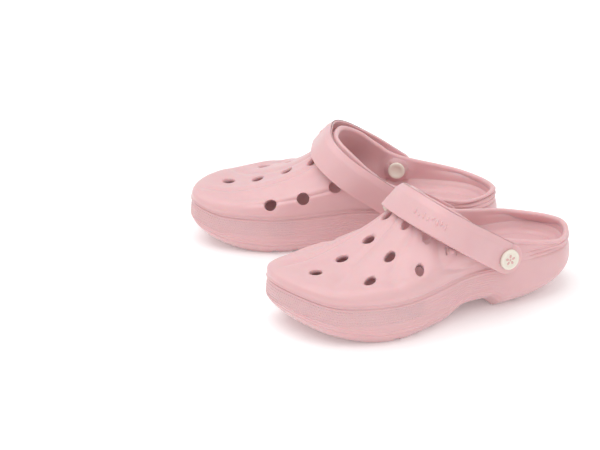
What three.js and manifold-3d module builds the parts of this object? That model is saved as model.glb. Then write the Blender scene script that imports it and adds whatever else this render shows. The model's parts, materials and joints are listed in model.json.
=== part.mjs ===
// A pair of moulded foam garden clogs with pivoting heel straps.
//
// Each clog is one foam shell (tread, midsole, vamp and heel cup in one moulding), one foam
// strap and two two-piece snap rivets that hold the strap and let it swing from over the
// instep to behind the heel. The right clog mirrors the left.
//
// Frame: millimetres, +Z up, the pair stands on z = 0 with the toes towards +X.
// A clog is drawn as a left one in its own frame: +X to the toe, +Y to the outer side,
// z = 0 on the ground and x = 0 at the strap's pivot.
import * as THREE from "three";
import { ParametricGeometry } from "three/addons/geometries/ParametricGeometry.js";
import { mergeVertices } from "three/addons/utils/BufferGeometryUtils.js";
import Module from "manifold-3d";

const wasm = await Module();
wasm.setup();

// ---- Driving dimensions ----
const LENGTH = 260; // outside length of one clog
const BALL_WIDTH = 110; // outside width across the ball of the foot
const WAIST_WIDTH = 86; // outside width at the arch
const HEEL_WIDTH = 86; // outside width at the heel
const PIVOT_FROM_HEEL = 87; // strap pivot, ahead of the heel's back
const PIVOT_HEIGHT = 47; // strap pivot above the ground
const WALL = 4; // thickness of the vamp and the heel cup
const RIM_TOE = 33; // height of the moulded line round the toe
const RIM_HEEL = 38; // its height round the heel, where the cup begins
const THROAT_FROM_HEEL = 137; // front of the foot opening
const THROAT_HEIGHT = 95.5;
const COLLAR_SIDE = 61; // height of the opening's edge beside the pivot
const COLLAR_BACK = 46; // and at the heel's back
const FOOTBED_TOE = 19; // height of the footbed under the ball
const FOOTBED_HEEL = 31;
const TOE_LIP = 6; // how much higher the moulded line stands at the toe tip
const TOE_SPRING = 17; // rise of the sole at the toe tip
const HEEL_RISE = 22; // rise of the sole at the heel's back
const ARCH_RISE = 8; // rise of the sole between ball and heel
const TREAD_DEPTH = 2.5;
const TREAD_SLOT = 5; // width of a cross channel in the tread
const TREAD_PITCH = 17;
const VENT = 10.5; // diameter of a vent hole
const VENT_STRETCH = 1.14; // length of an oval vent, as a share of VENT
const STRAP_THICK = 4;
const STRAP_WIDTH = 24.5; // width of the strap over the instep
const PADDLE = 25; // diameter of the strap's round ends
const STRAP_GAP = 2.8; // clear space between the strap and the instep
const STRAP_SET = 14; // from the opening's front edge to the strap's middle line
const STRAP_FLARE = 3.4; // how much wider the strap stands at its bends than at its ends
const STRAP_LEAN = 0.34; // slope of the strap's sides over the flanks
const STRAP_TILT = 0.6; // how far the strap turns to lie flat on the instep, 1 for all the way
const STRAP_CORNER = 2.9; // squareness of the strap's bends, 2 for an ellipse
const RIVET_HEAD = 16.5; // diameter of the outer button
const RIVET_HEAD_THICK = 2.6;
const RIVET_SHANK = 6;
const CAP = 14.5; // diameter of the inner cap
const CAP_THICK = 2.4;
const BOSS = 21; // diameter of the raised seat under each rivet
const GAP = 0.3; // running clearance between touching pieces

// The pair as it stands: the right clog is ahead of the left one and beside its inner side.
const RIGHT_AHEAD = -5;
const RIGHT_BESIDE = 131;
const RIGHT_TURN = -33; // degrees, toe turned outwards

const AROUND = 48; // facets round the clog
const AROUND_SMALL = 32; // facets of round pieces
const FOAM = new THREE.MeshStandardMaterial({ color: "#e3b8bb", roughness: 0.6, metalness: 0 });
const PLASTIC = new THREE.MeshStandardMaterial({ color: "#e6dccb", roughness: 0.45, metalness: 0 });

// ---- Solids ----
function solidOf(geometry) {
  const bare = new THREE.BufferGeometry();
  const flat = geometry.index ? geometry.toNonIndexed() : geometry;
  bare.setAttribute("position", flat.getAttribute("position"));
  const merged = mergeVertices(bare, 1e-3);
  return new wasm.Manifold(
    new wasm.Mesh({
      numProp: 3,
      vertProperties: merged.attributes.position.array,
      triVerts: new Uint32Array(merged.index.array),
    }),
  );
}
function geometryOf(solid) {
  const mesh = solid.getMesh();
  const geometry = new THREE.BufferGeometry();
  geometry.setAttribute("position", new THREE.BufferAttribute(mesh.vertProperties, 3));
  geometry.setIndex(new THREE.BufferAttribute(mesh.triVerts, 1));
  return geometry;
}

// ---- Outlines and heights round the clog ----
// Twelve stations run from the toe tip by the outer side to the heel's back and home by the
// inner side. around(values, s) reads a value at any place s between them, from 0 to 12.
const STATIONS = 12;
function around(values, s) {
  const i = Math.floor(s);
  const f = s - i;
  const [a, b, c, d] = [-1, 0, 1, 2].map((k) => values[(i + k + 2 * STATIONS) % STATIONS]);
  return b + 0.5 * f * (c - a + f * (2 * a - 5 * b + 4 * c - d + f * (3 * (b - c) + d - a)));
}
const smooth = (x, low, high) => THREE.MathUtils.smoothstep(x, low, high);

const ball = BALL_WIDTH / 2;
const waist = WAIST_WIDTH / 2;
const heel = HEEL_WIDTH / 2;
const heelX = -PIVOT_FROM_HEEL;
const toeX = LENGTH - PIVOT_FROM_HEEL;

// The outline at its widest height. x is a share of the length, from the heel's back.
const OUTLINE_X = [1, 0.92, 0.72, 0.455, 0.3, 0.09, 0, 0.07, 0.3, 0.47, 0.74, 0.955];
const OUTLINE_Y = [
  -0.2 * ball, 0.62 * ball, ball, 0.97 * waist, heel, 0.8 * heel,
  0, -0.82 * heel, -heel, -0.93 * waist, -ball, -0.76 * ball,
];
function outline(s, inset = 0) {
  const at = (q) =>
    new THREE.Vector2(heelX + LENGTH * around(OUTLINE_X, q), around(OUTLINE_Y, q));
  const along = at(s + 0.02).sub(at(s - 0.02)).normalize();
  return at(s).add(new THREE.Vector2(-along.y, along.x).multiplyScalar(inset));
}

// Height of the sole's underside: flat under the ball and the heel, raised at both ends and
// at the arch.
const toeSpringFrom = heelX + 0.72 * LENGTH;
const heelRiseTo = heelX + 0.28 * LENGTH;
const archFrom = heelX + 0.375 * LENGTH;
const archTo = heelX + 0.45 * LENGTH;
function underside(x) {
  const toe = Math.max(0, (x - toeSpringFrom) / (toeX - toeSpringFrom));
  const back = Math.max(0, (heelRiseTo - x) / (heelRiseTo - heelX));
  const arch = smooth(x, archFrom - 12, archFrom) * (1 - smooth(x, archTo, archTo + 26));
  return TOE_SPRING * toe ** 2 + HEEL_RISE * back ** 2 + ARCH_RISE * arch;
}
function footbed(x) {
  const back = 1 - smooth(x, heelX + 0.35 * LENGTH, heelX + 0.68 * LENGTH);
  const toe = smooth(x, heelX + 0.8 * LENGTH, toeX);
  return FOOTBED_TOE + (FOOTBED_HEEL - FOOTBED_TOE) * back + 0.6 * TOE_SPRING * toe;
}
// The moulded line where the midsole meets the vamp.
function rimHeight(x) {
  const back = 1 - smooth(x, heelX + 0.3 * LENGTH, heelX + 0.7 * LENGTH);
  return RIM_TOE + (RIM_HEEL - RIM_TOE) * back + TOE_LIP * smooth(x, toeX - 33, toeX + 3);
}

// ---- Vamp and heel cup ----
// From each place on the moulded line a curve climbs to the edge of the foot opening. It
// leaves the line upwards and meets the edge along EDGE_PULL.
const throatX = THROAT_FROM_HEEL - PIVOT_FROM_HEEL;
const drop = THROAT_HEIGHT - COLLAR_SIDE;
const EDGE = [
  [throatX, -0.12 * heel, THROAT_HEIGHT],
  [throatX - 4, 0.4 * heel, THROAT_HEIGHT - 0.06 * drop],
  [throatX - 18, 0.76 * heel, THROAT_HEIGHT - 0.38 * drop],
  [0.34 * throatX, 0.88 * heel, THROAT_HEIGHT - 0.75 * drop],
  [-3, 0.89 * heel, COLLAR_SIDE - 3],
  [0.66 * heelX, 0.86 * heel, COLLAR_BACK + 0.5],
  [heelX + 2.5, 0, COLLAR_BACK],
  [0.66 * heelX, -0.86 * heel, COLLAR_BACK + 0.5],
  [-3, -0.87 * heel, COLLAR_SIDE - 4],
  [0.34 * throatX, -0.88 * heel, THROAT_HEIGHT - 0.75 * drop],
  [throatX - 18, -0.78 * heel, THROAT_HEIGHT - 0.38 * drop],
  [throatX - 4, -0.52 * heel, THROAT_HEIGHT - 0.06 * drop],
];
const EDGE_PULL = [
  [45, -1, -61],
  [36, 10, -55],
  [16, 15, -36],
  [4, 7, -22],
  [0, 1, -12],
  [-1, 1, -6],
  [-2, 0, -6],
  [-1, -1, -6],
  [0, -1, -12],
  [4, -7, -22],
  [16, -15, -36],
  [38, -12, -55],
];
const LINE_PULL = [11, 15, 21, 14, 10, 6, 6, 6, 10, 14, 19, 13];
const RIM_INSET = 2; // the vamp's foot sits this far inside the midsole's widest outline
const vector = (table, s) =>
  new THREE.Vector3(...[0, 1, 2].map((k) => around(table.map((row) => row[k]), s)));

function vamp(s, t) {
  const foot = outline(s, RIM_INSET);
  const start = new THREE.Vector3(foot.x, foot.y, rimHeight(foot.x));
  const end = vector(EDGE, s);
  const lift = new THREE.Vector3(0, 0, around(LINE_PULL, s)).add(start);
  const pull = vector(EDGE_PULL, s).add(end);
  return new THREE.CubicBezierCurve3(start, lift, pull, end).getPoint(t);
}
function vampNormal(s, t) {
  const ds = 0.02;
  const dt = t > 0.98 ? -0.02 : 0.02;
  const p = vamp(s, t);
  const across = vamp(s + ds, t).sub(vamp(s - ds, t));
  const up = vamp(s, t + dt).sub(p).multiplyScalar(Math.sign(dt));
  return across.cross(up).normalize();
}
const lining = (s, t) => vamp(s, t).addScaledVector(vampNormal(s, t), -WALL);

// ---- Shell ----
// A ring is a function of s. The shell is one grid of rings from the underside's middle, out
// round the edge, up over the vamp, in at the opening's edge and down to the footbed's middle.
const level = (inset, height) => (s) => {
  const p = outline(s, inset);
  return new THREE.Vector3(p.x, p.y, height(p.x));
};
// The middle line between the two sides, shortened so that its ends stay clear of the ring.
const middle = (ring, share, height) => (s) => {
  const here = ring(s);
  const line = here.clone().add(ring(STATIONS - s)).multiplyScalar(0.5);
  const centre = (toeX + heelX) / 2;
  line.x = centre + (line.x - centre) * 0.82;
  const p = here.lerp(line, share);
  return new THREE.Vector3(p.x, p.y, height(p.x));
};
// How far the tread's edge lies inside the widest outline.
const GROUND_INSET = [8, 8, 8, 12, 15, 12, 9, 12, 15, 12, 8, 8];
const ground = (s) => level(around(GROUND_INSET, s), underside)(s);
const belly = (s) => level(0.45 * around(GROUND_INSET, s), (x) => underside(x) + 4)(s);
const bedEdge = level(WALL + 6, (x) => footbed(x) + 3);
const VAMP_STEPS = [0, 0.12, 0.25, 0.4, 0.55, 0.7, 0.85, 1];
const SHELL_RINGS = [
  middle(ground, 1, underside),
  ground,
  belly,
  level(0, (x) => Math.max(15, underside(x) + 9)),
  level(0.6, (x) => rimHeight(x) - 3),
  ...VAMP_STEPS.map((t) => (s) => vamp(s, t)),
  ...VAMP_STEPS.toReversed().map((t) => (s) => lining(s, t)),
  level(WALL + 3, (x) => footbed(x) + 7),
  bedEdge,
  middle(bedEdge, 0.25, footbed),
  middle(bedEdge, 1, footbed),
];
function gridSolid(rings) {
  const last = rings.length - 1;
  const place = (u, v, target) => target.copy(rings[Math.round(v * last)](u * STATIONS % STATIONS));
  return solidOf(new ParametricGeometry(place, AROUND, last));
}

// A round bar along +Y (or along a given direction), centred on a point.
function bar(diameter, from, to, centre = [0, 0, PIVOT_HEIGHT], direction = [0, 1, 0]) {
  const geometry = new THREE.CylinderGeometry(diameter / 2, diameter / 2, to - from, AROUND_SMALL);
  geometry.translate(0, (from + to) / 2, 0);
  geometry.applyQuaternion(
    new THREE.Quaternion().setFromUnitVectors(
      new THREE.Vector3(0, 1, 0),
      new THREE.Vector3(...direction).normalize(),
    ),
  );
  geometry.translate(...centre);
  return solidOf(geometry);
}
const box = (size, centre) => solidOf(new THREE.BoxGeometry(...size).translate(...centre));

// ---- Places across the pivot ----
// How far out a surface lies, at its least and most, within a radius of the pivot.
function spread(surface, radius) {
  const found = [];
  for (const side of [4, 8]) {
    for (let ds = -1; ds <= 1; ds += 0.04) {
      for (let t = 0; t <= 1; t += 0.04) {
        const p = surface(side + ds, t);
        if (Math.hypot(p.x, p.z - PIVOT_HEIGHT) < radius) found.push(Math.abs(p.y));
      }
    }
  }
  return [Math.min(...found), Math.max(...found)];
}
const seatOutside = Math.max(heel, spread(vamp, BOSS / 2)[1]) + 1; // face of the raised seat
const strapInside = seatOutside + GAP; // inner face of the strap's ends
const strapOutside = strapInside + STRAP_THICK;
const wallInside = spread(lining, CAP / 2 + 1)[0] - 0.3; // flat inner face at the seat

// Vents: [place round the clog, share of the way up the vamp, width as a share of VENT].
// The centre and inner rows are round; the outer rows are ovals that point to the instep.
const VENTS = [
  [0.2, 0.38, 1], [0.05, 0.565, 1], [11.88, 0.725, 1], [11.4, 0.85, 1],
  [1.13, 0.44, 0.78], [0.84, 0.675, 0.78], [0.45, 0.865, 0.78],
  [1.74, 0.545, 0.66], [1.24, 0.83, 0.66],
  [10.15, 0.29, 1], [9.96, 0.48, 1], [9.85, 0.72, 1],
];

const STOP_AT = [2.03, 0.74]; // the strap's stop on the outer flank

let shell = gridSolid(SHELL_RINGS);
for (const side of [1, -1]) {
  const seat = bar(BOSS, wallInside, seatOutside, [0, 0, PIVOT_HEIGHT], [0, side, 0]);
  const bore = bar(RIVET_SHANK + 2 * GAP, wallInside - 3, seatOutside + 3, [0, 0, PIVOT_HEIGHT], [0, side, 0]);
  shell = shell.add(seat).subtract(bore);
}
for (const [s, t, share] of VENTS) {
  const at = vamp(s, t);
  const way = vampNormal(s, t);
  const long = vamp(0, 1).sub(at);
  long.addScaledVector(way, -long.dot(way)).normalize();
  const wide = way.clone().cross(long);
  const hole = new THREE.CylinderGeometry(VENT / 2, VENT / 2, 20, AROUND_SMALL);
  hole.translate(0, -1, 0).scale(VENT_STRETCH ** (share < 1 ? 1 : 0), 1, share);
  hole.applyMatrix4(new THREE.Matrix4().makeBasis(long, way, wide.negate()).setPosition(at));
  shell = shell.subtract(solidOf(hole));
}
// The strap's stop: a small nub on the outer flank, just under the strap's front edge.
shell = shell.add(bar(5, -2.5, 2.2, vamp(STOP_AT[0], STOP_AT[1]).toArray(), vampNormal(...STOP_AT).toArray()));
// Cross channels of the tread.
for (const [from, to] of [[heelRiseTo - 6, archFrom - 14], [archTo + 18, toeSpringFrom + 8]]) {
  for (let x = from; x <= to; x += TREAD_PITCH) {
    shell = shell.subtract(box([TREAD_SLOT, 2 * BALL_WIDTH, 2 * TREAD_DEPTH], [x, 0, 0]));
  }
}


// ---- Strap ----
// The strap's middle line runs in the plane through the pivots' axis and the instep, from
// one pivot over the instep to the other. r is the distance from the axis; the round ends
// carry on behind the axis by a paddle's radius.
const instepAt = (() => {
  let t = 1;
  while (vamp(0, t).distanceTo(vamp(0, 1)) < STRAP_SET) t -= 0.005;
  return t;
})();
const instepNormal = vampNormal(0, instepAt);
instepNormal.y = 0;
instepNormal.normalize();
const instep = vamp(0, instepAt).addScaledVector(instepNormal, STRAP_GAP + STRAP_THICK / 2);
const reach = Math.hypot(instep.x, instep.z - PIVOT_HEIGHT);
const forward = new THREE.Vector3(instep.x, 0, instep.z - PIVOT_HEIGHT).divideScalar(reach);
const edgeways = new THREE.Vector3(forward.z, 0, -forward.x); // across the strap at its ends
const overInstep = new THREE.Vector3(instepNormal.z, 0, -instepNormal.x); // and at its middle
const halfSpan = strapInside + STRAP_THICK / 2;
const END_STEPS = 6;
const RUN_STEPS = 24;
const SECTIONS = 2 * (END_STEPS + 1) + RUN_STEPS;
const straight = RIVET_HEAD / 2 + 2; // the ends stay flat this far ahead of the pivot

function strapPath(k) {
  // k counts the sections: END_STEPS up to the first pivot and one more along the flat,
  // RUN_STEPS over the instep, then the same down to the far end.
  const near = Math.min(k, SECTIONS - k);
  const side = k * 2 <= SECTIONS ? 1 : -1;
  if (near <= END_STEPS) {
    const turn = (near / END_STEPS) * (Math.PI / 2);
    return { y: side * halfSpan, r: (-PADDLE / 2) * Math.cos(turn), half: (PADDLE / 2) * Math.sin(turn) };
  }
  const turn = ((k - END_STEPS - 1) / RUN_STEPS) * Math.PI;
  const c = Math.cos(turn);
  const share = Math.abs(Math.sin(turn)) ** (2 / STRAP_CORNER);
  const stand = halfSpan + STRAP_FLARE * smooth(share, 0, 0.6);
  return {
    y: stand * Math.sign(c) * Math.abs(c) ** (2 / STRAP_CORNER),
    r: straight + (reach - straight) * share,
    half: THREE.MathUtils.lerp(PADDLE, STRAP_WIDTH, smooth(share, 0.3, 1)) / 2,
  };
}
function strapSection(k) {
  const here = strapPath(k);
  const flat = Math.min(k, SECTIONS - k) <= END_STEPS + 1;
  const before = strapPath(flat && k < SECTIONS / 2 ? 0 : k - 1);
  const after = strapPath(flat && k > SECTIONS / 2 ? SECTIONS : k + 1);
  const along = forward
    .clone()
    .multiplyScalar(after.r - before.r)
    .add(new THREE.Vector3(0, after.y - before.y, 0))
    .normalize();
  const share = Math.max(0, here.r - straight) / (reach - straight);
  const width = edgeways.clone().lerp(overInstep, STRAP_TILT * smooth(share, 0.3, 1));
  width.y = STRAP_LEAN * smooth(share, 0, 0.6) * (here.y / halfSpan);
  width.normalize();
  const out = along.cross(width).normalize();
  const centre = forward.clone().multiplyScalar(here.r);
  centre.y = here.y;
  centre.z += PIVOT_HEIGHT;
  return { centre, width, out, half: here.half };
}
const CHAMFER = 1;
function strapSolid() {
  const place = (u, v, target) => {
    const { centre, width, out, half } = strapSection(Math.round(v * SECTIONS));
    const corner = (8 - Math.round(u * 8)) % 8;
    const bevel = Math.min(CHAMFER, half);
    const thick = STRAP_THICK / 2;
    const across = [half, half - bevel, bevel - half, -half, -half, bevel - half, half - bevel, half];
    const height = [-1, -1, -1, -1, 1, 1, 1, 1];
    const short = [1, 0, 0, 1, 1, 0, 0, 1];
    target
      .copy(centre)
      .addScaledVector(width, across[corner])
      .addScaledVector(out, height[corner] * (thick - short[corner] * bevel));
  };
  return solidOf(new ParametricGeometry(place, 8, SECTIONS));
}
let strap = strapSolid();
for (const side of [1, -1]) {
  strap = strap.subtract(
    bar(RIVET_SHANK + 2 * GAP, strapInside - 5, strapOutside + 5, [0, 0, PIVOT_HEIGHT], [0, side, 0]),
  );
}

// ---- Rivets ----
// A button with a shank goes in from outside through strap and wall; a cap closes it inside.
const headInside = strapOutside + GAP;
const capOutside = wallInside - GAP;
const SOCKET = 1.4; // how far the shank enters the cap
function button(side) {
  const at = [0, 0, PIVOT_HEIGHT];
  const way = [0, side, 0];
  return bar(RIVET_HEAD, headInside, headInside + RIVET_HEAD_THICK - 0.8, at, way)
    .add(bar(RIVET_HEAD - 1.6, headInside, headInside + RIVET_HEAD_THICK, at, way))
    .add(bar(RIVET_SHANK, capOutside - SOCKET, headInside + 0.5, at, way));
}
function cap(side) {
  const at = [0, 0, PIVOT_HEIGHT];
  const way = [0, side, 0];
  return bar(CAP, capOutside - CAP_THICK, capOutside, at, way).subtract(
    bar(RIVET_SHANK + 2 * GAP, capOutside - SOCKET - GAP, capOutside + 1, at, way),
  );
}

// ---- The pair ----
const PIECES = [
  ["shell", shell, FOAM],
  ["strap", strap, FOAM],
  ["outer_button", button(1), PLASTIC],
  ["outer_cap", cap(1), PLASTIC],
  ["inner_button", button(-1), PLASTIC],
  ["inner_cap", cap(-1), PLASTIC],
];
function clog(side) {
  const group = new THREE.Group();
  group.name = `${side}_clog`;
  for (const [name, solid, material] of PIECES) {
    const mesh = new THREE.Mesh(geometryOf(solid), material);
    mesh.name = `${side}_${name}`;
    group.add(mesh);
  }
  return group;
}
const left = clog("left");
const right = clog("right");
right.scale.y = -1;
right.rotation.z = THREE.MathUtils.degToRad(RIGHT_TURN);
right.position.set(RIGHT_AHEAD, -RIGHT_BESIDE, 0);

const pair = new THREE.Group();
pair.name = "garden_clogs";
pair.add(left, right);
pair.updateMatrixWorld(true);
const bounds = new THREE.Box3().setFromObject(pair, true);
const middleOf = bounds.getCenter(new THREE.Vector3());
pair.position.set(-middleOf.x, -middleOf.y, -bounds.min.z);
pair.updateMatrixWorld(true);

export default pair;
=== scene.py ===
# %% [markdown]
# # A pair of moulded foam garden clogs
# Each clog is one foam moulding: tread, midsole, vamp and heel cup in a single skin. A foam
# strap turns on two plastic rivets. The frame gives the exact places, and this lesson builds
# the finer visible pieces around it. Both clogs could be modelled one by one, but they are
# mirror images, so one is made with care and placed twice.

# %% Load the frame
import json
import math

import bmesh
import bpy
import numpy as np
from mathutils import Matrix, Vector

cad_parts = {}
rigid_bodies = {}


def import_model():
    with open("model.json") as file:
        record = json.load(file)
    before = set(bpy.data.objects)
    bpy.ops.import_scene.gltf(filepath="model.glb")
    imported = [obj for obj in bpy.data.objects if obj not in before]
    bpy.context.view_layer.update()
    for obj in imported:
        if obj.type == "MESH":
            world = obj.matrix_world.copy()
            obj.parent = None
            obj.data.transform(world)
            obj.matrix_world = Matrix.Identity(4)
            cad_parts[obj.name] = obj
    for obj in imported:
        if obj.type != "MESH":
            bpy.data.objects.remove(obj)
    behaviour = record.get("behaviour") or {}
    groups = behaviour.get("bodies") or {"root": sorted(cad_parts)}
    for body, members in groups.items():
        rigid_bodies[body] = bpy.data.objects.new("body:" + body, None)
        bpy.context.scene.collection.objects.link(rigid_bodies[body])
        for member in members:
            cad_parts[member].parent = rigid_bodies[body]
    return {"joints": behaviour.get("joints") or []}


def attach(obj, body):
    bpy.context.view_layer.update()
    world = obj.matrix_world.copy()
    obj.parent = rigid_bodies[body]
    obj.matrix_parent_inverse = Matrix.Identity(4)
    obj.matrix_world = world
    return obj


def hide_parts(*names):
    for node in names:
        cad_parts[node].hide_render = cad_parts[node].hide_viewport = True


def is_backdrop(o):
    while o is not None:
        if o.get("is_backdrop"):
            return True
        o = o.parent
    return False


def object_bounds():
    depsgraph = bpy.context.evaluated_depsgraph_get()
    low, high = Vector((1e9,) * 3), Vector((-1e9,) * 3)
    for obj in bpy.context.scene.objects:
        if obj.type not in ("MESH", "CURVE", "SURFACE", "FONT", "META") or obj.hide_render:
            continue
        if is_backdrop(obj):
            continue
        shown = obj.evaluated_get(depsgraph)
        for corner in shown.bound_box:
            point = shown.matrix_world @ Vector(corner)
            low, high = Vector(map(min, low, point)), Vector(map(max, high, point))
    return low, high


for spare in list(bpy.data.objects):
    bpy.data.objects.remove(spare)
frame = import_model()
cad_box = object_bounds()
joints = {joint["name"]: joint for joint in frame["joints"]}

# %% [markdown]
# A clog has no straight edge to measure from, so its sizes are heights and widths at known
# places. Every size is in millimetres, in the clog's own space: +X to the toe, +Y to the outer
# side, the ground at z = 0 and x = 0 at the strap's pivot. Named once here, each size can be
# changed without a search through the script.

# %% Sizes of one clog
LENGTH, BALL, WAIST, HEEL = 260.0, 55.0, 43.0, 43.0  # length, then half widths
PIVOT_X, PIVOT_Z = 87.0, 47.0
HEEL_X, TOE_X = -PIVOT_X, LENGTH - PIVOT_X
WALL = 4.0
RIM_TOE, RIM_HEEL = 33.0, 38.0
THROAT_X, THROAT_Z = 50.0, 95.5
COLLAR_SIDE, COLLAR_BACK = 61.0, 46.0
BED_TOE, BED_HEEL = 19.0, 31.0
TOE_LIP, TOE_SPRING, HEEL_RISE, ARCH_RISE = 6.0, 17.0, 22.0, 8.0
RIM_INSET = 2.0
VENT = 10.5
RIVET_HEAD, RIVET_HEAD_THICK, CAP, BOSS = 16.5, 2.6, 14.5, 21.0
BORE = 6.6  # through the wall and the strap, for a 6 mm shank
GAP = 0.3
TREAD_DEPTH, TREAD_SLOT, TREAD_PITCH = 2.5, 5.0, 17.0
STATIONS = 12
print("clog", LENGTH, "long,", 2 * BALL, "wide at the ball, throat", THROAT_Z, "high")

# %% [markdown]
# Seen from above the real sole has no corners, only a curve that swells at the ball, narrows
# at the arch and closes round the heel. It could be drawn by hand as a Bezier curve. Twelve
# stations from the toe tip by the outer side to the heel and home do the same in numbers, and
# a smooth curve joins their values, so that everything else can be asked for at any station.

# %% Outline from above
def around(values, s):
    """A value, or a row of values, at places s round the clog."""
    values = np.asarray(values, float)
    i = np.floor(s).astype(int)
    f = s - i
    a, b, c, d = (values[(i + k) % STATIONS] for k in (-1, 0, 1, 2))
    if values.ndim == 2:
        f = f[..., None]
    return b + 0.5 * f * (c - a + f * (2 * a - 5 * b + 4 * c - d + f * (3 * (b - c) + d - a)))


def smooth(x, low, high):
    t = np.clip((x - low) / (high - low), 0, 1)
    return t * t * (3 - 2 * t)


OUTLINE = np.column_stack([
    np.array([1, 0.92, 0.72, 0.455, 0.3, 0.09, 0, 0.07, 0.3, 0.47, 0.74, 0.955]) * LENGTH + HEEL_X,
    [-0.2 * BALL, 0.62 * BALL, BALL, 0.97 * WAIST, HEEL, 0.8 * HEEL,
     0, -0.82 * HEEL, -HEEL, -0.93 * WAIST, -BALL, -0.76 * BALL],
])


def outline(s, inset=0.0):
    """A place on the widest outline seen from above, or that far inside it."""
    along = around(OUTLINE, s + 0.02) - around(OUTLINE, s - 0.02)
    along /= np.linalg.norm(along, axis=-1, keepdims=True)
    inward = np.stack([-along[..., 1], along[..., 0]], axis=-1)
    return around(OUTLINE, s) + inward * np.asarray(inset)[..., None]


print("outline", outline(np.arange(STATIONS)).round(0).tolist())

# %% [markdown]
# From the side the sole springs up at the toe, hollows at the arch and rises at the heel, so
# that the foot can roll over it. These heights depend on x alone, so three plain functions
# are enough, and no profile has to be drawn and lofted.


# %% Heights along the clog
def underside(x):
    """Height of the sole's underside: toe spring, heel rise and a hollow at the arch."""
    toe_from, heel_to = HEEL_X + 0.72 * LENGTH, HEEL_X + 0.28 * LENGTH
    arch_from, arch_to = HEEL_X + 0.375 * LENGTH, HEEL_X + 0.45 * LENGTH
    toe = np.maximum(0, (x - toe_from) / (TOE_X - toe_from))
    back = np.maximum(0, (heel_to - x) / (heel_to - HEEL_X))
    arch = smooth(x, arch_from - 12, arch_from) * (1 - smooth(x, arch_to, arch_to + 26))
    return TOE_SPRING * toe**2 + HEEL_RISE * back**2 + ARCH_RISE * arch


def footbed(x):
    back = 1 - smooth(x, HEEL_X + 0.35 * LENGTH, HEEL_X + 0.68 * LENGTH)
    toe = smooth(x, HEEL_X + 0.8 * LENGTH, TOE_X)
    return BED_TOE + (BED_HEEL - BED_TOE) * back + 0.6 * TOE_SPRING * toe


def rim_height(x):
    back = 1 - smooth(x, HEEL_X + 0.3 * LENGTH, HEEL_X + 0.7 * LENGTH)
    return RIM_TOE + (RIM_HEEL - RIM_TOE) * back + TOE_LIP * smooth(x, TOE_X - 33, TOE_X + 3)


for x in (HEEL_X, 0, TOE_X):
    print("x", x, "sole", round(float(underside(x)), 1), "line", round(float(rim_height(x)), 1))

# %% [markdown]
# The vamp over the toes and the cup round the heel are one surface on the real clog. It could
# be sculpted, but the strap and the rivets have to fit it to a third of a millimetre. So it is
# a formula: from each place on the moulded line a cubic curve climbs to the edge of the foot
# opening, and two tables say where that edge is and which way the skin arrives there.

# %% The vamp as a surface
DROP = THROAT_Z - COLLAR_SIDE
EDGE = np.array([
    [THROAT_X, -0.12 * HEEL, THROAT_Z],
    [THROAT_X - 4, 0.4 * HEEL, THROAT_Z - 0.06 * DROP],
    [THROAT_X - 18, 0.76 * HEEL, THROAT_Z - 0.38 * DROP],
    [0.34 * THROAT_X, 0.88 * HEEL, THROAT_Z - 0.75 * DROP],
    [-3, 0.89 * HEEL, COLLAR_SIDE - 3],
    [0.66 * HEEL_X, 0.86 * HEEL, COLLAR_BACK + 0.5],
    [HEEL_X + 2.5, 0, COLLAR_BACK],
    [0.66 * HEEL_X, -0.86 * HEEL, COLLAR_BACK + 0.5],
    [-3, -0.87 * HEEL, COLLAR_SIDE - 4],
    [0.34 * THROAT_X, -0.88 * HEEL, THROAT_Z - 0.75 * DROP],
    [THROAT_X - 18, -0.78 * HEEL, THROAT_Z - 0.38 * DROP],
    [THROAT_X - 4, -0.52 * HEEL, THROAT_Z - 0.06 * DROP],
])
PULL = np.array([
    [45, -1, -61], [36, 10, -55], [16, 15, -36], [4, 7, -22], [0, 1, -12], [-1, 1, -6],
    [-2, 0, -6], [-1, -1, -6], [0, -1, -12], [4, -7, -22], [16, -15, -36], [38, -12, -55],
], float)
LIFT = [11, 15, 21, 14, 10, 6, 6, 6, 10, 14, 19, 13]


def vamp(s, t):
    """The skin at station s and share t of the way from the moulded line to the opening."""
    s, t = np.broadcast_arrays(np.asarray(s, float), np.asarray(t, float))
    foot = outline(s, np.full(s.shape, RIM_INSET))
    start = np.concatenate([foot, rim_height(foot[..., 0])[..., None]], axis=-1)
    end = around(EDGE, s)
    lift = start + np.stack([0 * s, 0 * s, around(LIFT, s)], axis=-1)
    pull = end + around(PULL, s)
    t = t[..., None]
    return (1 - t) ** 3 * start + 3 * (1 - t) ** 2 * t * lift + 3 * (1 - t) * t * t * pull + t**3 * end


def vamp_normal(s, t):
    s, t = np.broadcast_arrays(np.asarray(s, float), np.asarray(t, float))
    dt = np.where(t > 0.98, -0.02, 0.02)
    across = vamp(s + 0.02, t) - vamp(s - 0.02, t)
    up = (vamp(s, t + dt) - vamp(s, t)) * np.sign(dt)[..., None]
    normal = np.cross(across, up)
    return normal / np.linalg.norm(normal, axis=-1, keepdims=True)


# Vents: station, share of the way up, and width as a share of VENT.
VENTS = [
    (0.2, 0.38, 1), (0.05, 0.565, 1), (11.88, 0.725, 1), (11.4, 0.85, 1),
    (1.13, 0.44, 0.78), (0.84, 0.675, 0.78), (0.45, 0.865, 0.78),
    (1.74, 0.545, 0.66), (1.24, 0.83, 0.66),
    (10.15, 0.29, 1), (9.96, 0.48, 1), (9.85, 0.72, 1),
]
VENT_STRETCH = 1.14
vent_at = np.array([vamp(s, t) for s, t, _ in VENTS])
vent_way = np.array([vamp_normal(s, t) for s, t, _ in VENTS])
print("vents", len(VENTS), "throat", vamp(0.0, 1.0).round(1))

# %% [markdown]
# The mould's fine relief is added along the skin's normal: a fan of shallow flutes between
# the rows of vents, a dish round each vent, a bead along the moulded line, a fuller toe and
# three steps round the heel cup. Each flute is a line across the vamp, given by its station at
# the foot and how fast it drifts inwards. A bump map would be cheaper, but the flutes and the
# steps show in the outline.

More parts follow.
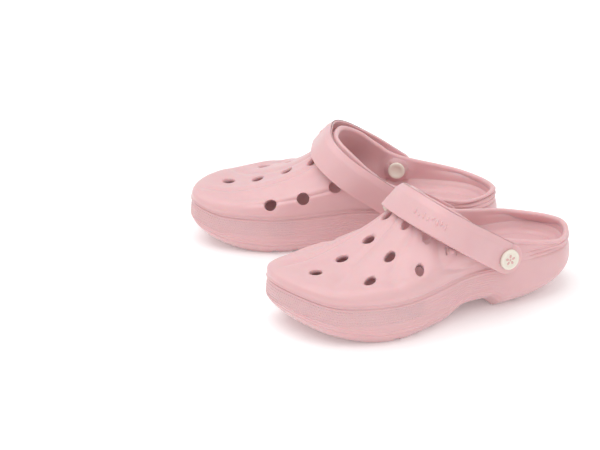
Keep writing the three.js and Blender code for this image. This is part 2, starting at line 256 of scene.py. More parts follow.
# %% Relief of the moulding
FLUTES = [(0.65, -1.5), (1.5, -1.75), (2.45, -2.3), (-0.55, -0.93), (-1.9, -1.2)]
HEEL_STEPS = [0.4, 3.6, 6.8]  # mm above the moulded line


def signed(s):
    return (s + STATIONS / 2) % STATIONS - STATIONS / 2


def vamp_relief(s, t):
    """Height in mm above the plain vamp."""
    here = signed(s)
    relief = np.zeros_like(s)
    fade = smooth(t, 0.12, 0.34) * (1 - smooth(t, 0.86, 0.97))
    for at, drift in FLUTES:
        d = here - (at + drift * (t - 0.42))
        ridge = 0.45 * np.exp(-(((abs(d) - 0.24) / 0.15) ** 2))
        relief += fade * (-1.0 * np.exp(-((d / 0.09) ** 2)) + ridge)
    points = vamp(s, t)
    back = smooth(abs(here), 4.2, 4.45)
    above = points[..., 2] - rim_height(points[..., 0])
    for at in HEEL_STEPS:
        step = (above - at) / 0.6
        relief += back * (0.45 * np.exp(-((step - 1.6) ** 2)) - 0.85 * np.exp(-(step**2)))
    for centre in vent_at:
        r = np.linalg.norm(points - centre, axis=-1)
        relief -= 0.5 * (1 - smooth(r, VENT / 2 - 0.6, VENT / 2 + 3.0))
    bead = 1.6 * np.exp(-((t / 0.022) ** 2)) * (1 - 0.85 * smooth(abs(here), 3.4, 4.4))
    toe = 4.4 * smooth(t, 0.0, 0.11) * (1 - smooth(t, 0.16, 0.46))
    toe *= 1 - smooth(abs(here - 0.2), 1.6, 3.2)
    collar = 0.7 * smooth(t, 0.94, 1.0) - 0.35 * np.exp(-(((t - 0.925) / 0.015) ** 2))
    return relief + bead + toe + collar


print("flutes", len(FLUTES), "heel steps", len(HEEL_STEPS))

# %% [markdown]
# A real rivet needs a flat place to turn against, so the mould leaves a round boss on the
# curved wall. Its planes could be typed in, but they are measured from the skin near the
# pivot, as they are on the frame, so strap, button and cap all find their faces there.

# %% Rivet places
def reach_across(part, radius):
    """Least and greatest distance out of a wall surface near the pivot."""
    found = []
    for side in (4, 8):
        s, t = np.meshgrid(np.arange(side - 1, side + 1, 0.04), np.arange(0, 1.0001, 0.04))
        p = vamp(s, t) - (0 if part == "outside" else WALL) * vamp_normal(s, t)
        found.append(abs(p[np.hypot(p[..., 0], p[..., 2] - PIVOT_Z) < radius][:, 1]))
    found = np.concatenate(found)
    return found.min(), found.max()


STRAP_T = 4.0
SEAT = max(HEEL, reach_across("outside", BOSS / 2)[1]) + 1
STRAP_IN, STRAP_OUT = SEAT + GAP, SEAT + GAP + STRAP_T
HEAD_IN = STRAP_OUT + GAP
WALL_IN = reach_across("inside", CAP / 2 + 1)[0] - 0.3
CAP_OUT = WALL_IN - GAP
PIVOT = (0, 0, PIVOT_Z)
print("seat", round(SEAT, 2), "cap", round(CAP_OUT, 2))

# %% [markdown]
# The midsole's side bellies out and tucks in at the ground, with two fine lines near the
# bottom, a step where the knurled band begins and thin lines along the flank. Each of them is
# a small inset that depends on height and place, and the footbed's groove is the same idea
# seen from above. Given as numbers they stay sharp where a sculpted line would blur.

# %% Sole and footbed shapes
COLUMNS = 440
SIDE = np.linspace(0, 0.96, 80)
GROUND_INSET = [8, 8, 8, 12, 15, 12, 9, 12, 15, 12, 8, 8]


def side_inset(h, s):
    """How far the sole's side lies inside its widest outline at a share h of its height."""
    here = abs(signed(s))
    front = 1 - smooth(here, 3.3, 4.2)
    below = around(GROUND_INSET, s) * np.clip(1 - h / 0.45, 0, 1) ** 2.2
    inset = below if h < 0.45 else 1.5 * ((h - 0.45) / 0.5) ** 2.4
    inset = inset + 0.8 * np.exp(-(((h - 0.26) / 0.03) ** 2)) * (0.35 + 0.65 * front)
    inset = inset + 0.45 * np.exp(-(((h - 0.36) / 0.022) ** 2)) * front
    inset = inset + 0.55 * smooth(h, 0.4, 0.44) * (1 - smooth(h, 0.88, 0.93)) * front
    lines = smooth(here, 1.5, 2.3) * front * smooth(h, 0.44, 0.48) * (1 - smooth(h, 0.84, 0.88))
    inset = inset + 0.16 * lines * (1 - np.cos(2 * math.pi * h * 33 / 2.1))
    return inset + 0.7 * smooth(h, 0.9, 0.96) * front


def level(s, inset, height):
    """A ring inside the outline, lifted to a height that depends on x."""
    p = outline(s, np.broadcast_to(np.asarray(inset, float), s.shape))
    return np.column_stack([p, height(p[:, 0])])


def folded(ring, s, share, height):
    """A ring drawn in towards the line half way between its two sides."""
    line = (ring + ring[(-np.arange(len(ring))) % len(ring)]) / 2
    centre = (TOE_X + HEEL_X) / 2
    line[:, 0] = centre + (line[:, 0] - centre) * 0.82
    p = ring + (line - ring) * share
    p[:, 2] = height(p[:, 0])
    return p


def bed_height(share):
    """The footbed dips inside a groove that follows its edge."""
    groove = 1.3 * math.exp(-(((share - 0.2) / 0.035) ** 2))
    dish = 1.2 * math.sin(math.pi * min(share, 1) / 2)
    lip = 1.4 * (1 - smooth(share, 0, 0.2))
    return lambda x: footbed(x) + lip - groove - dish + 1.2


def swell(points, to):
    """Eases a wall surface out to a plane beside each end of the strap's axis."""
    near = 1 - smooth(np.hypot(points[:, 0], points[:, 2] - PIVOT_Z), 8.5, 17)
    points[:, 1] += near * (np.sign(points[:, 1]) * to - points[:, 1])
    return points


def side_height(h):
    """Height along the sole's side at a share h of the way to the moulded line."""
    return lambda x: underside(x) + h * (rim_height(x) - underside(x))


print("side rows", len(SIDE), "toe inset at the ground", float(side_inset(0, np.zeros(1))[0]))

# %% [markdown]
# The real shell is one closed skin, so one grid makes it. Its columns run round the clog and
# its rows run from the underside's middle, out round the sole, up the vamp, over the rolled
# collar, down the lining and along the footbed. Separate sheets would leave seams where the
# foam has none. Both ends of the grid fold on themselves and are welded.


# %% Rows of the shell
def shell_rows():
    s = np.arange(COLUMNS) / COLUMNS * STATIONS
    ground = level(s, around(GROUND_INSET, s), underside)
    rows = [folded(ground, s, share, underside) for share in np.linspace(1, 0.06, 9)]
    rows += [level(s, side_inset(h, s), side_height(h)) for h in SIDE]
    for t in np.concatenate([np.linspace(0, 0.08, 6), np.linspace(0.1, 0.985, 57)]):
        t = np.full_like(s, t)
        skin_at = vamp(s, t) + vamp_normal(s, t) * vamp_relief(s, t)[:, None]
        rows.append(swell(skin_at, SEAT - 0.4))
    out = vamp_normal(s, 0.985)
    up = vamp(s, 1.0) - vamp(s, 0.97)
    up /= np.linalg.norm(up, axis=1)[:, None]
    centre = vamp(s, 0.985) + out * (0.7 - WALL) / 2
    radius = (WALL + 0.7) / 2
    for turn in np.linspace(0, math.pi, 9)[1:]:
        rows.append(centre + radius * (math.cos(turn) * out + math.sin(turn) * up))
    for t in np.linspace(0.93, 0.0, 18):
        rows.append(swell(vamp(s, t) - WALL * vamp_normal(s, t), WALL_IN + 0.15))
    low = rows[-1]
    soft = level(s, WALL + 3, lambda x: footbed(x) + 7)
    edge = level(s, WALL + 6, lambda x: footbed(x) + 2.4)
    rows += [low + (soft - low) * f for f in (0.5, 1.0)]
    rows.append((soft + edge) / 2 - np.array([0, 0, 0.8]))
    for share in (0.0, 0.05, 0.1, 0.14, 0.17, 0.2, 0.23, 0.26, 0.32, 0.42, 0.56, 0.7, 0.85, 1.0):
        rows.append(folded(edge, s, share, bed_height(share)))
    return rows


rows = shell_rows()
print("rows", len(rows), "columns", COLUMNS)

# %% [markdown]
# create_grid makes the flat sheet, and every vertex is then moved to its place on the skin.
# The sheet's two long edges meet and are welded, so it closes round the clog. The strap is
# made by the same function.

# %% Grid to skin
def skin(rows):
    """A closed skin from rings of equal length."""
    bm = bmesh.new()
    count, wide = len(rows) - 1, len(rows[0])
    bmesh.ops.create_grid(bm, x_segments=wide, y_segments=count, size=1)
    for v in bm.verts:
        column, row = round((v.co.x + 1) / 2 * wide), round((v.co.y + 1) / 2 * count)
        v.co = rows[row][column % wide]
    bmesh.ops.remove_doubles(bm, verts=bm.verts, dist=1e-4)
    bmesh.ops.dissolve_degenerate(bm, edges=bm.edges, dist=1e-5)
    return bm


def to_object(name, bm):
    mesh = bpy.data.meshes.new(name)
    bm.to_mesh(mesh)
    bm.free()
    obj = bpy.data.objects.new(name, mesh)
    bpy.context.collection.objects.link(obj)
    return obj


shell_bm = skin(rows)
if sum(f.calc_area() * f.normal.z for f in shell_bm.faces if f.calc_center_median().z < 1) > 0:
    bmesh.ops.reverse_faces(shell_bm, faces=shell_bm.faces)
print("shell faces", len(shell_bm.faces), "volume cm3", round(shell_bm.calc_volume() / 1000))
shell = to_object("shell_master", shell_bm)

# %% [markdown]
# The foam's holes come from pins in the mould, and a Boolean cut with a pin's shape is the
# same thing in Blender. Holes could be built into the grid's rows, but they would bend every
# row near them. All the cutters of one kind are one mesh, so each kind costs one cut.

# %% Cutters
def turned_to(way):
    """The matrix that turns +Z to a direction."""
    return Vector((0, 0, 1)).rotation_difference(Vector(way)).to_matrix().to_4x4()


def axes_matrix(*axes):
    """The matrix that turns X, Y and Z to three directions."""
    return Matrix([Vector(axis) for axis in axes]).transposed().to_4x4()


def round_bar(bm, diameter, low, high, centre, way, segments=40):
    move = Matrix.Translation(Vector(centre) + Vector(way).normalized() * (low + high) / 2)
    bmesh.ops.create_cone(bm, cap_ends=True, segments=segments, radius1=diameter / 2,
                          radius2=diameter / 2, depth=high - low, matrix=move @ turned_to(way))


def combine(obj, cutter_bm, operation):
    cutter = to_object("cutter", cutter_bm)
    step = obj.modifiers.new("cut", "BOOLEAN")
    step.operation, step.solver, step.object = operation, "MANIFOLD", cutter
    bpy.context.view_layer.update()
    depsgraph = bpy.context.evaluated_depsgraph_get()
    result = bpy.data.meshes.new_from_object(obj.evaluated_get(depsgraph))
    obj.modifiers.clear()
    old, obj.data = obj.data, result
    bpy.data.meshes.remove(old)
    spare = cutter.data
    bpy.data.objects.remove(cutter)
    bpy.data.meshes.remove(spare)
    print(operation.lower(), "->", len(result.polygons), "faces")


# %% [markdown]
# On the real clog the vents are through holes that let water and air out. The inner row is
# round; those of the outer flank are ovals that point to the instep, so their cutters are
# stretched cylinders. The seats are flat bosses that the strap's ends turn against.

# %% Cut the vents, seats and bores
vents = bmesh.new()
for centre, way, (_, _, share) in zip(vent_at, vent_way, VENTS):
    way, to_instep = Vector(way), Vector(vamp(0.0, 1.0) - centre)
    long = (to_instep - way * to_instep.dot(way)).normalized()
    turn = axes_matrix(long, way.cross(long), way)
    oval = Matrix.Diagonal((VENT_STRETCH if share < 1 else 1, share, 1, 1))
    bmesh.ops.create_cone(vents, cap_ends=True, segments=48, radius1=VENT / 2, radius2=VENT / 2,
                          depth=18, matrix=Matrix.Translation(centre) @ turn @ oval)
combine(shell, vents, "DIFFERENCE")

seats = bmesh.new()
for side in (1, -1):
    round_bar(seats, BOSS, WALL_IN, SEAT, PIVOT, (0, side, 0), 72)
combine(shell, seats, "UNION")

bores = bmesh.new()
for side in (1, -1):
    round_bar(bores, BORE, WALL_IN - 3, SEAT + 3, PIVOT, (0, side, 0))
combine(shell, bores, "DIFFERENCE")

# %% [markdown]
# The tread is cut with cross channels for grip under the heel and the ball. A small post
# stands on the outer flank below the strap, with a slot pressed in beside it on each side.
# All of them are plain blocks and bars, so they are cut and added like the vents.

# %% Tread channels and the strap's stop
channels = bmesh.new()
for first, last in ((HEEL_X + 0.28 * LENGTH - 6, HEEL_X + 0.375 * LENGTH - 14),
                    (HEEL_X + 0.45 * LENGTH + 18, HEEL_X + 0.72 * LENGTH + 8)):
    for x in np.arange(first, last + 0.01, TREAD_PITCH):
        size = Matrix.Diagonal((TREAD_SLOT, 240, 2 * TREAD_DEPTH, 1))
        bmesh.ops.create_cube(channels, size=1, matrix=Matrix.Translation((x, 0, 0)) @ size)
combine(shell, channels, "DIFFERENCE")

STOP = (2.03, 0.74)
stop_at, stop_way = vamp(*STOP), vamp_normal(*STOP)
side_way = Vector(vamp(STOP[0] + 0.1, STOP[1]) - vamp(STOP[0] - 0.1, STOP[1])).normalized()
slots = bmesh.new()
turn = axes_matrix(side_way, Vector(stop_way).cross(side_way), stop_way)
for side in (1, -1):
    centre = Matrix.Translation(Vector(stop_at) + side_way * side * 4.2)
    size = Matrix.Diagonal((0.9, 6.5, 2.0, 1))
    bmesh.ops.create_cube(slots, size=1, matrix=centre @ turn @ size)
combine(shell, slots, "DIFFERENCE")
stop = bmesh.new()
round_bar(stop, 4.6, -2.5, 1.9, stop_at, stop_way)
combine(shell, stop, "UNION")

# %% [markdown]
# The strap is a foam band that arches from rivet to rivet and lies just above the instep. It
# could be a curve with a bevel, but its width has to turn to lie flat on the instep. So its
# path is a formula that gives the middle of the band and its width at each place.

# %% Strap path
PADDLE, STRAP_W = 25.0, 24.5
STRAP_SET, STRAP_GAP = 14, 2.8  # behind it the opening's edge, under it the instep
STRAP_CORNER, STRAP_FLARE, STRAP_LEAN, STRAP_TILT = 2.9, 3.4, 0.34, 0.6


def strap_middle():
    """The place up the instep that the strap's middle line crosses."""
    t = np.arange(0.5, 1.0001, 0.005)
    far = np.linalg.norm(vamp(np.zeros_like(t), t) - vamp(0.0, 1.0), axis=1) >= STRAP_SET
    return t[far].max()


t0 = strap_middle()
n0 = vamp_normal(0.0, t0)
n0[1] = 0
n0 /= np.linalg.norm(n0)
instep = vamp(0.0, t0) + n0 * (STRAP_GAP + STRAP_T / 2)
REACH = math.hypot(instep[0], instep[2] - PIVOT_Z)
FORWARD = np.array([instep[0], 0, instep[2] - PIVOT_Z]) / REACH
EDGEWAYS = np.array([FORWARD[2], 0, -FORWARD[0]])
OVER = np.array([n0[2], 0, -n0[0]])
SPAN = STRAP_IN + STRAP_T / 2
STRAIGHT = RIVET_HEAD / 2 + 2


def strap_place(turn):
    """Middle of the band and its half width; turn runs 0 to pi between the two flats."""
    c = math.cos(turn)
    share = abs(math.sin(turn)) ** (2 / STRAP_CORNER)
    stand = SPAN + STRAP_FLARE * float(smooth(share, 0, 0.6))
    y = stand * math.copysign(abs(c) ** (2 / STRAP_CORNER), c)
    r = STRAIGHT + (REACH - STRAIGHT) * share
    half = (PADDLE + (STRAP_W - PADDLE) * float(smooth(share, 0.3, 1))) / 2
    return np.array([0, y, 0]) + FORWARD * r, half, share


print("strap reach", round(REACH, 1), "half span", round(SPAN, 1))

# %% [markdown]
# A path alone doesn't say which way the band faces. Each section also gets a width direction
# and an outward one: square to the path, edge-on at the rivets and turned towards the instep
# in the middle. The two round ends add sections that narrow to nothing.

# %% Sections along the strap
END_TURNS = np.linspace(0.0, 0.5, 15) * math.pi


def strap_frames():
    """Sections along the band: centre, width direction, outward direction and half width."""
    near_end = [(np.array([0, SPAN, 0]) - FORWARD * PADDLE / 2 * math.cos(turn),
                 PADDLE / 2 * math.sin(turn), 0.0, FORWARD) for turn in END_TURNS]
    near_end += [(np.array([0, SPAN, 0]) + FORWARD * r, PADDLE / 2, 0.0, FORWARD)
                 for r in np.linspace(0, STRAIGHT, 7)[1:-1]]
    run = []
    for turn in np.linspace(0, math.pi, 181):
        before, after = (strap_place(min(max(turn + d, 0), math.pi))[0] for d in (-0.01, 0.01))
        run.append((*strap_place(turn), (after - before) / np.linalg.norm(after - before)))
    far_end = [(c * np.array([1, -1, 1]), half, share, -FORWARD)
               for c, half, share, _ in reversed(near_end)]
    sections = []
    for centre, half, share, along in near_end + run + far_end:
        width = EDGEWAYS + (OVER - EDGEWAYS) * STRAP_TILT * float(smooth(share, 0.3, 1))
        width[1] = STRAP_LEAN * float(smooth(share, 0, 0.6)) * centre[1] / SPAN
        width = width / np.linalg.norm(width)
        out = np.cross(along, width)
        out = out / np.linalg.norm(out)
        sections.append((centre + np.array([0, 0, PIVOT_Z]), width, out, half))
    return sections


frames = strap_frames()
print("strap sections", len(frames))

# %% [markdown]
# The real strap is one thick foam band, moulded flat-sided with softened edges. A section is
# drawn once, as an inner face, two rounded edges and an outer face that slopes off towards the
# rear, and is set on every frame of the path. The round ends are the same section grown narrower.

# %% Strap band
STRAP_EDGE = 0.8  # radius of the band's edges
EDGE_STEPS = [0, 0.08, 0.2, 0.38, 0.65, 1.1, 1.9, 3.2, 4.8, 6.4, 7.4, 8.6, 10.5, 12.4]
CREASE = 6.5  # width of the slope along the rear edge
CREASE_DROP = 2.1
HALF = PADDLE / 2


def strap_ring(centre, width, out, half, back):
    """One section: inner face, front edge, outer face, rear edge."""
    steps = np.array(EDGE_STEPS) * half / HALF
    u = np.concatenate([half - steps, [0], (steps - half)[::-1]])
    d = half - abs(u)
    if back:
        d = np.minimum(d, HALF - np.sqrt(u**2 + back**2))
    d = np.clip(d, 0, STRAP_EDGE)
    drop = STRAP_EDGE - np.sqrt(STRAP_EDGE**2 - (STRAP_EDGE - d) ** 2)
    top = STRAP_T / 2 - drop
    inner, outer = [(a, -b) for a, b in zip(u, top)], []
    ramp = 0.0 if back else CREASE_DROP * min(1, half / HALF) ** 2
    for a, b in zip(u[::-1], top[::-1]):
        rear = np.clip((a + half) / CREASE, 0, 1)
        outer.append((a, b - ramp * (1 - rear)))
    ring = inner + [(-half, 0.0)] + outer + [(half, 0.0)]
    return [centre + width * a + out * b for a, b in ring]


rings = []
for k, section in enumerate(frames):
    near = min(k, len(frames) - 1 - k)
    back = HALF * math.cos(float(END_TURNS[near])) if near < len(END_TURNS) else 0.0
    rings.append(strap_ring(*section, back))
print("strap rings", len(rings), "of", len(rings[0]))

strap_bm = skin(rings)
bmesh.ops.recalc_face_normals(strap_bm, faces=strap_bm.faces)
strap = to_object("strap_master", strap_bm)
bores = bmesh.new()
for side in (1, -1):
    round_bar(bores, BORE, STRAP_IN - 5, STRAP_OUT + 5, PIVOT, (0, side, 0))
combine(strap, bores, "DIFFERENCE")

# %% [markdown]
# The strap's outer face carries a short row of raised bars beside the crest, moulded with it.
# They are half-sunk ellipsoids joined to the band, so they catch light as raised foam does.

# %% Raised marks on the strap
MARK_BARS = [(4.6, 0), (1.6, 1.5), (4.6, 0), (3.0, 0.8), (1.6, -1.5), (4.6, 0), (3.0, -0.8), (4.6, 0)]
marks_bm = bmesh.new()
for k, (length, shift) in enumerate(MARK_BARS):
    crossing = strap_place(math.pi / 2 - 0.16 - 0.085 * k)[0] + np.array([0, 0, PIVOT_Z])
    centre, width, out, _ = min(frames, key=lambda f: np.linalg.norm(f[0] - crossing))
    at = Matrix.Translation(centre + width * (shift + 1.5) + out * STRAP_T / 2)
    size = Matrix.Diagonal((1.7, length, 1.3, 1))
    bmesh.ops.create_uvsphere(marks_bm, u_segments=16, v_segments=8, radius=0.5,
                              matrix=at @ axes_matrix(np.cross(width, out), width, out) @ size)
combine(strap, marks_bm, "UNION")

# %% [markdown]
# The toe's side band is knurled with fine dots, and the skin under the collar has short ribs.
# They repeat by the hundred, so each is a tiny ready-made shape set on the skin. Cut into the
# shell's own mesh they would need far more faces than they are worth.

# %% Knurl dots and collar ribs
DOT_ROWS, DOT_PITCH, DOT_RISE, DOT_DROP = 6, 2.2, 2.05, 4.2  # first row below the line


def side_point(s, h):
    s = np.array([s])
    return level(s, side_inset(h, s), side_height(h))[0]


relief_bm = bmesh.new()
dots = ribs = 0
reach = np.arange(-2.35, 2.75, 0.001)
girth = np.cumsum(np.linalg.norm(np.diff(outline(reach), axis=0), axis=1))
for row in range(DOT_ROWS):
    for place_on in np.arange(DOT_PITCH / 2 * (row % 2), girth[-1], DOT_PITCH):
        s = reach[np.searchsorted(girth, place_on)]
        tall = 1 - smooth(abs(s), 1.2, 2.6)
        if tall < 0.08:
            continue
        x = outline(s)[0]
        z = RIM_TOE + TOE_LIP * smooth(x, TOE_X - 33, TOE_X + 3) - DOT_DROP - DOT_RISE * row
        h = (z - underside(x)) / (rim_height(x) - underside(x))
        at = side_point(s, h)
        across, up = side_point(s + 0.01, h) - at, side_point(s, h + 0.01) - at
        way = Vector(np.cross(across, up)).normalized()
        size = Matrix.Diagonal((0.62, 0.62, 0.4 * tall, 1))
        bmesh.ops.create_icosphere(relief_bm, subdivisions=1, radius=1,
                                   matrix=Matrix.Translation(at) @ turned_to(way) @ size)
        dots += 1
for side in (1, -1):
    for s in np.arange(2.1, 3.0, 0.085) * side % STATIONS:
        low, high = vamp(s, 0.86), vamp(s, 0.92)
        way = Vector(high - low)
        at = Matrix.Translation((low + high) / 2 - vamp_normal(s, 0.89) * 0.1)
        bmesh.ops.create_cone(relief_bm, cap_ends=True, segments=6, radius1=0.42, radius2=0.42,
                              depth=way.length, matrix=at @ turned_to(way.normalized()))
        ribs += 1
relief_master = to_object("relief_master", relief_bm)
print("dots", dots, "ribs", ribs, "faces", len(relief_master.data.polygons))

# %% [markdown]
# The snap rivets are round plastic parts, so each is a profile spun round the pivot, as on a
# lathe. A bevelled cylinder would do from afar, but not for the ring round the button's face.
# The button carries a plain flower of raised petals; its cap is a disc with a socket.

# %% Rivets
def spun(profile, side, segments=64):
    """profile: points (radius, distance along the pivot's axis from the clog's middle)."""
    bm = bmesh.new()
    points = [bm.verts.new((r, 0, z)) for r, z in profile]
    edges = [bm.edges.new(pair) for pair in zip(points, points[1:])]
    bmesh.ops.spin(bm, geom=points + edges, cent=(0, 0, 0), axis=(0, 0, 1), angle=2 * math.pi,
                   steps=segments, use_merge=True)
    bmesh.ops.remove_doubles(bm, verts=bm.verts, dist=1e-4)
    turn = turned_to((0, side, 0))
    bmesh.ops.transform(bm, matrix=Matrix.Translation(PIVOT) @ turn, verts=bm.verts)
    bmesh.ops.recalc_face_normals(bm, faces=bm.faces)
    return bm


def arc(centre_r, centre_z, radius, first, last, steps=6):
    return [(centre_r + radius * math.cos(a), centre_z + radius * math.sin(a))
            for a in np.radians(np.linspace(first, last, steps))]


TOP = HEAD_IN + RIVET_HEAD_THICK
BUTTON = [(0, TOP - 0.55), (5.6, TOP - 0.55), (6.0, TOP - 0.15)]
BUTTON += [(6.4, TOP - 0.02), *arc(6.95, TOP - 1.3, 1.3, 88, 0)]
BUTTON += [(RIVET_HEAD / 2, HEAD_IN + 0.25), (8.0, HEAD_IN)]
BUTTON += [(3.0, HEAD_IN), (3.0, CAP_OUT - 1.1), (2.7, CAP_OUT - 1.4), (0, CAP_OUT - 1.4)]
IN = CAP_OUT - 2.4
CAP_SHAPE = [(0, CAP_OUT - 1.7), (3.3, CAP_OUT - 1.7), (3.3, CAP_OUT)]
CAP_SHAPE += [(6.95, CAP_OUT), (CAP / 2, CAP_OUT - 0.3)]
CAP_SHAPE += arc(6.25, IN + 1.0, 1.0, 0, -90) + [(4.4, IN), (4.1, IN + 0.3), (0, IN + 0.3)]

rivets = {}
for side, where in ((1, "outer"), (-1, "inner")):
    rivets[f"{where}_button"] = to_object(f"{where}_button", spun(BUTTON, side))
    rivets[f"{where}_cap"] = to_object(f"{where}_cap", spun(CAP_SHAPE, side))
    mark = bmesh.new()
    middle = Matrix.Translation((0, side * (TOP - 0.55), PIVOT_Z))
    petal = Matrix.Translation((2.9, 0, 0)) @ Matrix.Diagonal((1.5, 0.42, 1.0, 1))
    petals = [Matrix.Rotation(-2 * math.pi * k / 5 - math.pi / 2, 4, "Y") @ petal for k in range(5)]
    for shape in [*petals, Matrix.Diagonal((0.9, 0.42, 0.9, 1))]:
        bmesh.ops.create_uvsphere(mark, u_segments=16, v_segments=8, radius=1, matrix=middle @ shape)
    rivets[f"{where}_mark"] = to_object(f"{where}_mark", mark)
print("rivets", sorted(rivets))

# %% [markdown]
# The frame says where each clog stands: its strap's hinge gives the origin, and the hinge's
# axis gives the heading. The right clog is the mirror of the left one, so its mesh is flipped
# and its normals are turned back. Places are baked in, so each finished object sits at the
# origin like the frame's own nodes.

# %% Place both clogs
def clog_matrix(side):
    hinge = joints[f"{side}_strap_swing"]
    x, y, _ = hinge["pos_m"]
    yaw = math.atan2(hinge["axis"][0], -hinge["axis"][1])
    flip = -1 if side == "right" else 1
    size = Matrix.Diagonal((0.001, 0.001 * flip, 0.001, 1))
    return Matrix.Translation((x, y, 0)) @ Matrix.Rotation(yaw, 4, "Z") @ size


def place(master, side, name, body, nodes=()):
    mesh = master.data.copy()
    mesh.name = name
    mesh.transform(clog_matrix(side))
    if side == "right":
        mesh.flip_normals()
    mesh.update()
    obj = bpy.data.objects.new(name, mesh)
    bpy.context.collection.objects.link(obj)
    for polygon in mesh.polygons:
        polygon.use_smooth = True
    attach(obj, body)
    if nodes:
        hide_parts(*nodes)
    return obj


foam_parts, plastic_parts, mark_parts = [], [], []
for side in ("left", "right"):
    body = f"{side}_clog"
    foam_parts += [
        place(shell, side, f"{side}_foam_shell", body, [f"{side}_shell"]),
        place(relief_master, side, f"{side}_foam_relief", body, ()),
        place(strap, side, f"{side}_foam_strap", f"{side}_strap", [f"{side}_strap"]),
    ]
    for where in ("outer", "inner"):
        for piece in ("button", "cap"):
            master, name = rivets[f"{where}_{piece}"], f"{side}_{where}_rivet_{piece}"
            nodes = [f"{side}_{where}_{piece}"]
            plastic_parts.append(place(master, side, name, body, nodes))
        master = rivets[f"{where}_mark"]
        mark_parts.append(place(master, side, f"{side}_{where}_rivet_mark", body))
for master in [shell, strap, relief_master, *rivets.values()]:
    spare = master.data
    bpy.data.objects.remove(master)
    bpy.data.meshes.remove(spare)
print("placed", len(foam_parts) + len(plastic_parts) + len(mark_parts))

# %% [markdown]
# Colours are known as hex codes, which are meant for a screen, while shaders count light. One
# function turns them linear, one adds a node and one starts a material, so each finish below
# takes a few lines.


# %% Shader helpers
def linear(code):
    values = [int(code[i:i + 2], 16) / 255 for i in (1, 3, 5)]
    return (*[v / 12.92 if v <= 0.04045 else ((v + 0.055) / 1.055) ** 2.4 for v in values], 1)


def node(material, kind, settings=None, **inputs):
    """Adds one node; an input is a value or another node's output socket."""
    made = material.node_tree.nodes.new(kind)
    for key, value in (settings or {}).items():
        setattr(made, key, value)
    for key, value in inputs.items():
        numbered = key[0] == "i" and key[1:].isdigit()
        socket = made.inputs[int(key[1:]) if numbered else key.replace("_", " ")]
        if isinstance(value, bpy.types.NodeSocket):
            material.node_tree.links.new(value, socket)
        else:
            socket.default_value = value
    return made


def start(name, **values):
    material = bpy.data.materials.new(name)
    material.use_nodes = True
    shader = material.node_tree.nodes["Principled BSDF"]
    for key, value in values.items():
        shader.inputs[key.replace("_", " ")].default_value = value
    return material, shader


print("a mid grey in linear light", round(linear("#808080")[0], 3))

# %% [markdown]
# Moulded EVA is matt with a faint sheen, and a little light goes into it. Its colour is even,
# with a barely visible mottle and a fine grain from the mould. Both are noise in object space,
# which needs no unwrapping. The rivets are plain cream plastic, a little smoother.

# %% Materials
foam, shader = start("EVA foam, moulded satin", Base_Color=linear("#dcb2b4"), Roughness=0.4,
                     Sheen_Weight=0.3, Sheen_Roughness=0.4,
                     Subsurface_Weight=0.3, Subsurface_Scale=0.004)
place_at = node(foam, "ShaderNodeTexCoord").outputs["Object"]
mottle = node(foam, "ShaderNodeTexNoise", Vector=place_at, Scale=70.0, Detail=2.0)
tone = node(foam, "ShaderNodeMix", {"data_type": "RGBA"}, i0=mottle.outputs[0],
            i6=linear("#dfb4b6"), i7=linear("#d9adaf"))
foam.node_tree.links.new(tone.outputs[2], shader.inputs["Base Color"])
grain = node(foam, "ShaderNodeTexNoise", Vector=place_at, Scale=2600.0, Detail=2.0)
bump = node(foam, "ShaderNodeBump", Height=grain.outputs[0], Strength=0.12, Distance=0.0001)
foam.node_tree.links.new(bump.outputs[0], shader.inputs["Normal"])

plastic, _ = start("Rivet plastic, cream", Base_Color=linear("#e8e0d2"), Roughness=0.38)
ink, _ = start("Rivet plastic, rose mark", Base_Color=linear("#d9aaa8"), Roughness=0.45)
for parts, material in ((foam_parts, foam), (plastic_parts, plastic), (mark_parts, ink)):
    for obj in parts:
        obj.data.materials.clear()
        obj.data.materials.append(material)
print("materials", [m.name for m in (foam, plastic, ink)])

# %% [markdown]
# Catalogue pictures of shoes are made on a pale sweep under wide soft lamps. A plain floor, a
# white room and two large area lamps do the same, and their soft light shows the foam's
# gentle swells, which hard light would break up.

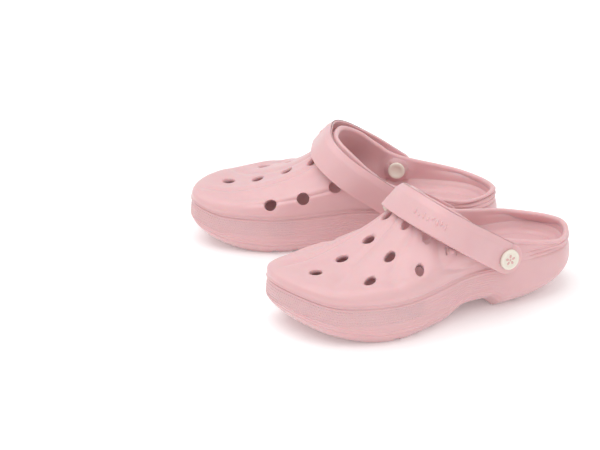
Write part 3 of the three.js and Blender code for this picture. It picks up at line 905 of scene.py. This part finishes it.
# %% Stage
floor_bm = bmesh.new()
bmesh.ops.create_grid(floor_bm, x_segments=1, y_segments=1, size=6)
floor = to_object("floor", floor_bm)
white, _ = start("Studio floor, matt white", Base_Color=linear("#fbfbfb"), Roughness=0.9,
                 Emission_Color=(1, 1, 1, 1), Emission_Strength=0.12)
floor.data.materials.append(white)
floor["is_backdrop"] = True

world = bpy.data.worlds.new("studio")
bpy.context.scene.world = world
world.use_nodes = True
sky = world.node_tree.nodes["Background"]
sky.inputs["Color"].default_value = (1, 1, 1, 1)
sky.inputs["Strength"].default_value = 0.78


def lamp(name, power, size, at, target):
    data = bpy.data.lights.new(name, "AREA")
    data.energy, data.size = power, size
    obj = bpy.data.objects.new(name, data)
    bpy.context.collection.objects.link(obj)
    obj.location = at
    obj.rotation_mode = "QUATERNION"
    obj.rotation_quaternion = (Vector(at) - Vector(target)).to_track_quat("Z", "Y")
    return obj


lamp("key", 15.5, 1.8, (0.35, -0.2, 1.7), (0.02, 0, 0.03))
lamp("fill", 2.5, 1.2, (0.3, 1.4, 0.9), (0, 0, 0.04))
bpy.context.scene.view_settings.view_transform = "Standard"

# %% [markdown]
# A long lens from ahead of the outer side shows both clogs with little perspective, so their
# lengths can be compared by eye.

# %% Camera
lens = bpy.data.cameras.new("camera")
lens.lens, lens.sensor_width = 110.6, 36.0
camera = bpy.data.objects.new("camera", lens)
bpy.context.collection.objects.link(camera)
back = Vector((0.4366, 0.8142, 0.3827)).normalized()
camera.location = Vector((0.0889, 0.04705, 0.0666)) + back * 1.4384
camera.rotation_mode = "QUATERNION"
camera.rotation_quaternion = back.to_track_quat("Z", "Y")
lens.clip_start, lens.clip_end = 0.05, 20
bpy.context.scene.camera = camera
print("camera", lens.lens, "mm lens at", [round(v, 2) for v in camera.location])

# %% [markdown]
# The finer pieces have to fill the same box as the frame, so both boxes are written down.

made_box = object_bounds()
for name, box in (("cad", cad_box), ("made", made_box)):
    print(name, [tuple(round(v, 4) for v in corner) for corner in box])
